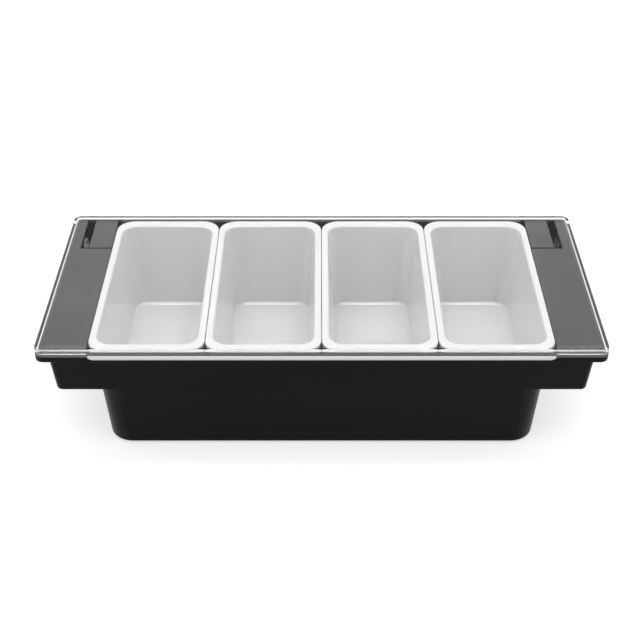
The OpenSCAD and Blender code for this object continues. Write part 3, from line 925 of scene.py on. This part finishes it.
def shape_lid():
    lid = bpy.context.scene.caddy_lid
    deck_top = DECK_HIGH.z
    skirt_low = deck_top + lid.gap
    plate_low = LID_HIGH.z - lid.plate
    front = LID_LOW.y + lid.lip_reach
    half = LID_HIGH.x
    bm = bmesh.new()
    outside = rounded_face(bm, (-half, front), (half, LID_HIGH.y), skirt_low, lid.corner)
    walled(bm, outside, [(0, LID_HIGH.z - skirt_low - lid.edge)] + arc_steps(lid.edge, 1, True))
    outer_faces = set(bm.faces)
    inside = rounded_face(bm, (lid.skirt - half, front + lid.skirt),
                          (half - lid.skirt, LID_HIGH.y - lid.skirt), skirt_low, lid.corner - lid.skirt)
    walled(bm, inside, [(0, plate_low - skirt_low - lid.inner_edge)] + arc_steps(lid.inner_edge, 1, True))
    bmesh.ops.reverse_faces(bm, faces=[face for face in bm.faces if face not in outer_faces])
    bmesh.ops.bridge_loops(bm, edges=open_edges(bm))
    bmesh.ops.recalc_face_normals(bm, faces=bm.faces)
    soften(bm, lid.bevel, [e for e in bm.edges if e.is_manifold and level_at(e, skirt_low)])
    arm_x = PIN_HIGH.x - bpy.context.scene.caddy_body.wall - bpy.context.scene.caddy_deck.gap - lid.arm
    divided(bm, [0] + [side * (arm_x + lid.arm / 2) for side in (-1, 1)],
            [PIVOT.y - lid.arm_reach + lid.riser / 2])

    short, hidden_corner = 0.3 * MM, 1.2 * lid.lip_edge
    lip_half = lid.lip_length / 2
    lip_rear = front + lid.skirt - short
    lip = solid((-lip_half, LID_LOW.y), (lip_half, lip_rear), skirt_low, [(0, lid.lip)], lid.lip_corner,
                hidden_corner)
    soften(lip, lid.lip_edge, level_edges(lip.edges), EDGE_STEPS)
    bm = combined(bm, [lip], "UNION")
    relief = rod((-half - PAST, PIVOT.y, PIVOT.z), (half + PAST, PIVOT.y, PIVOT.z),
                 plate_low - PIVOT.z - lid.relief, RELIEF_STEPS)
    bm = combined(bm, [relief], "DIFFERENCE")

    arm = extruded(arm_outline(lid, plate_low), arm_x, lid.arm, (((0, 9), lid.eye), ((3, 4), lid.arm)))
    soften(arm, lid.bevel, [e for e in arm.edges if abs(e.verts[0].co.x - e.verts[1].co.x) < SAME_PLACE])
    bore = rod((arm_x - PAST, PIVOT.y, PIVOT.z), (arm_x + lid.arm + PAST, PIVOT.y, PIVOT.z),
               PIN_RADIUS + lid.pin_gap)
    arm = combined(arm, [bore], "DIFFERENCE")
    bm = combined(bm, both_sides(arm), "UNION")
    return piece("clear_lid", bm, clear(), "lid", "lid")


class CADDY_OT_lid(bpy.types.Operator):
    """Shape the clear lid with its finger lip and gooseneck arms"""
    bl_idname = "caddy.lid"
    bl_label = "Lid"

    def execute(self, context):
        shape_lid()
        return {"FINISHED"}


class CADDY_OT_fixings(bpy.types.Operator):
    """Finish the screws and the rubber feet"""
    bl_idname = "caddy.fixings"
    bl_label = "Screws and feet"

    def execute(self, context):
        for node in frame["nodes"]:
            if "screw" in node:
                dress(node, finish("turned_steel", turned_steel))
            elif node.startswith("foot"):
                dress(node, finish("soft_rubber", soft_rubber))
        return {"FINISHED"}


# ---------------------------------------------------------------------------
# Stage
# ---------------------------------------------------------------------------

# Lamps: where each stands, what it points at, its width and length in metres, and its watts
LAMPS = {
    "softbox_top": ((0, 0.1, 1.6), (0, 0, 0), (1.4, 0.16), 5),
    "softbox_left": ((-1.5, -0.6, 1.1), (0, 0, 0.05), (1.0, 1.0), 3),
    "softbox_right": ((1.5, -0.6, 1.1), (0, 0, 0.05), (1.0, 1.0), 3),
}


def pale_floor(colour, lift):
    """A pale floor that looks white to the camera and in reflections, and keeps shadows."""
    material = bpy.data.materials.new("floor")
    g = Graph(material)
    matt = g.node("ShaderNodeBsdfDiffuse", values={"Color": opaque(colour)})
    glow = g.node("ShaderNodeEmission", values={"Color": grey(1.0), "Strength": g.seen_white() * lift})
    g.surface(g.node("ShaderNodeAddShader", values={0: matt, 1: glow}))
    return material


def pale_world(level):
    """Light from all around at this level, which looks white to the camera and in reflections."""
    world = bpy.data.worlds.new("studio")
    g = Graph(world)
    strength = g.seen_white() * (1.0 - level) + level
    g.node("ShaderNodeOutputWorld", values={
        "Surface": g.node("ShaderNodeBackground", values={"Color": grey(1.0), "Strength": strength})})
    bpy.context.scene.world = world


def lamp(name, place, aim, size, watts):
    data = bpy.data.lights.new(name, "AREA")
    data.shape, data.size, data.size_y, data.energy = "RECTANGLE", size[0], size[1], watts
    obj = bpy.data.objects.new(name, data)
    obj.location = place
    obj.rotation_euler = (Vector(aim) - Vector(place)).to_track_quat("-Z", "Y").to_euler()
    bpy.context.scene.collection.objects.link(obj)


def set_camera(stage):
    data = bpy.data.cameras.new("camera")
    data.lens, data.sensor_width, data.sensor_fit = stage.lens, SENSOR_WIDTH, "HORIZONTAL"
    obj = bpy.data.objects.new("camera", data)
    obj.location = (stage.eye_shift, -stage.eye_distance, stage.eye_height)
    obj.rotation_euler = (math.pi / 2 - stage.pitch, 0, 0)
    bpy.context.scene.collection.objects.link(obj)
    bpy.context.scene.camera = obj


class CADDY_OT_stage(bpy.types.Operator):
    """Set the floor, the lamps and the camera"""
    bl_idname = "caddy.stage"
    bl_label = "Stage"

    def execute(self, context):
        stage = context.scene.caddy_stage
        bm = bmesh.new()
        bmesh.ops.create_grid(bm, x_segments=1, y_segments=1, size=stage.size / 2)
        mesh = bpy.data.meshes.new("floor")
        bm.to_mesh(mesh)
        bm.free()
        mesh.materials.append(pale_floor(stage.floor, stage.lift))
        floor = bpy.data.objects.new("floor", mesh)
        context.scene.collection.objects.link(floor)
        pale_world(stage.daylight)
        for name, settings in LAMPS.items():
            lamp(name, *settings)
        set_camera(stage)
        context.scene.view_settings.view_transform = "Standard"
        return {"FINISHED"}


# ---------------------------------------------------------------------------
# Add-on
# ---------------------------------------------------------------------------

OPERATORS = (CADDY_OT_body, CADDY_OT_deck, CADDY_OT_hinges, CADDY_OT_inserts, CADDY_OT_lid,
             CADDY_OT_fixings, CADDY_OT_stage)


class CADDY_PT_panel(bpy.types.Panel):
    """Lists the caddy's sizes, colours and building steps"""
    bl_idname = "CADDY_PT_panel"
    bl_label = "Condiment caddy"
    bl_space_type = "VIEW_3D"
    bl_region_type = "UI"
    bl_category = "Caddy"

    def draw(self, context):
        for operator in OPERATORS:
            self.layout.operator(operator.bl_idname)
        for attribute, group in GROUPS.items():
            box = self.layout.box()
            box.label(text=group.__name__)
            for key in group.__annotations__:
                box.prop(getattr(context.scene, attribute), key)


def register():
    for cls in (*GROUPS.values(), *OPERATORS, CADDY_PT_panel):
        bpy.utils.register_class(cls)
    for attribute, group in GROUPS.items():
        setattr(bpy.types.Scene, attribute, PointerProperty(type=group))


def unregister():
    for attribute in GROUPS:
        delattr(bpy.types.Scene, attribute)
    for cls in (CADDY_PT_panel, *reversed(OPERATORS), *reversed(GROUPS.values())):
        bpy.utils.unregister_class(cls)


def main():
    register()
    for operator in OPERATORS:
        name = operator.bl_idname.split(".")[1]
        getattr(bpy.ops.caddy, name)()
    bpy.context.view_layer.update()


if __name__ == "__main__":
    main()
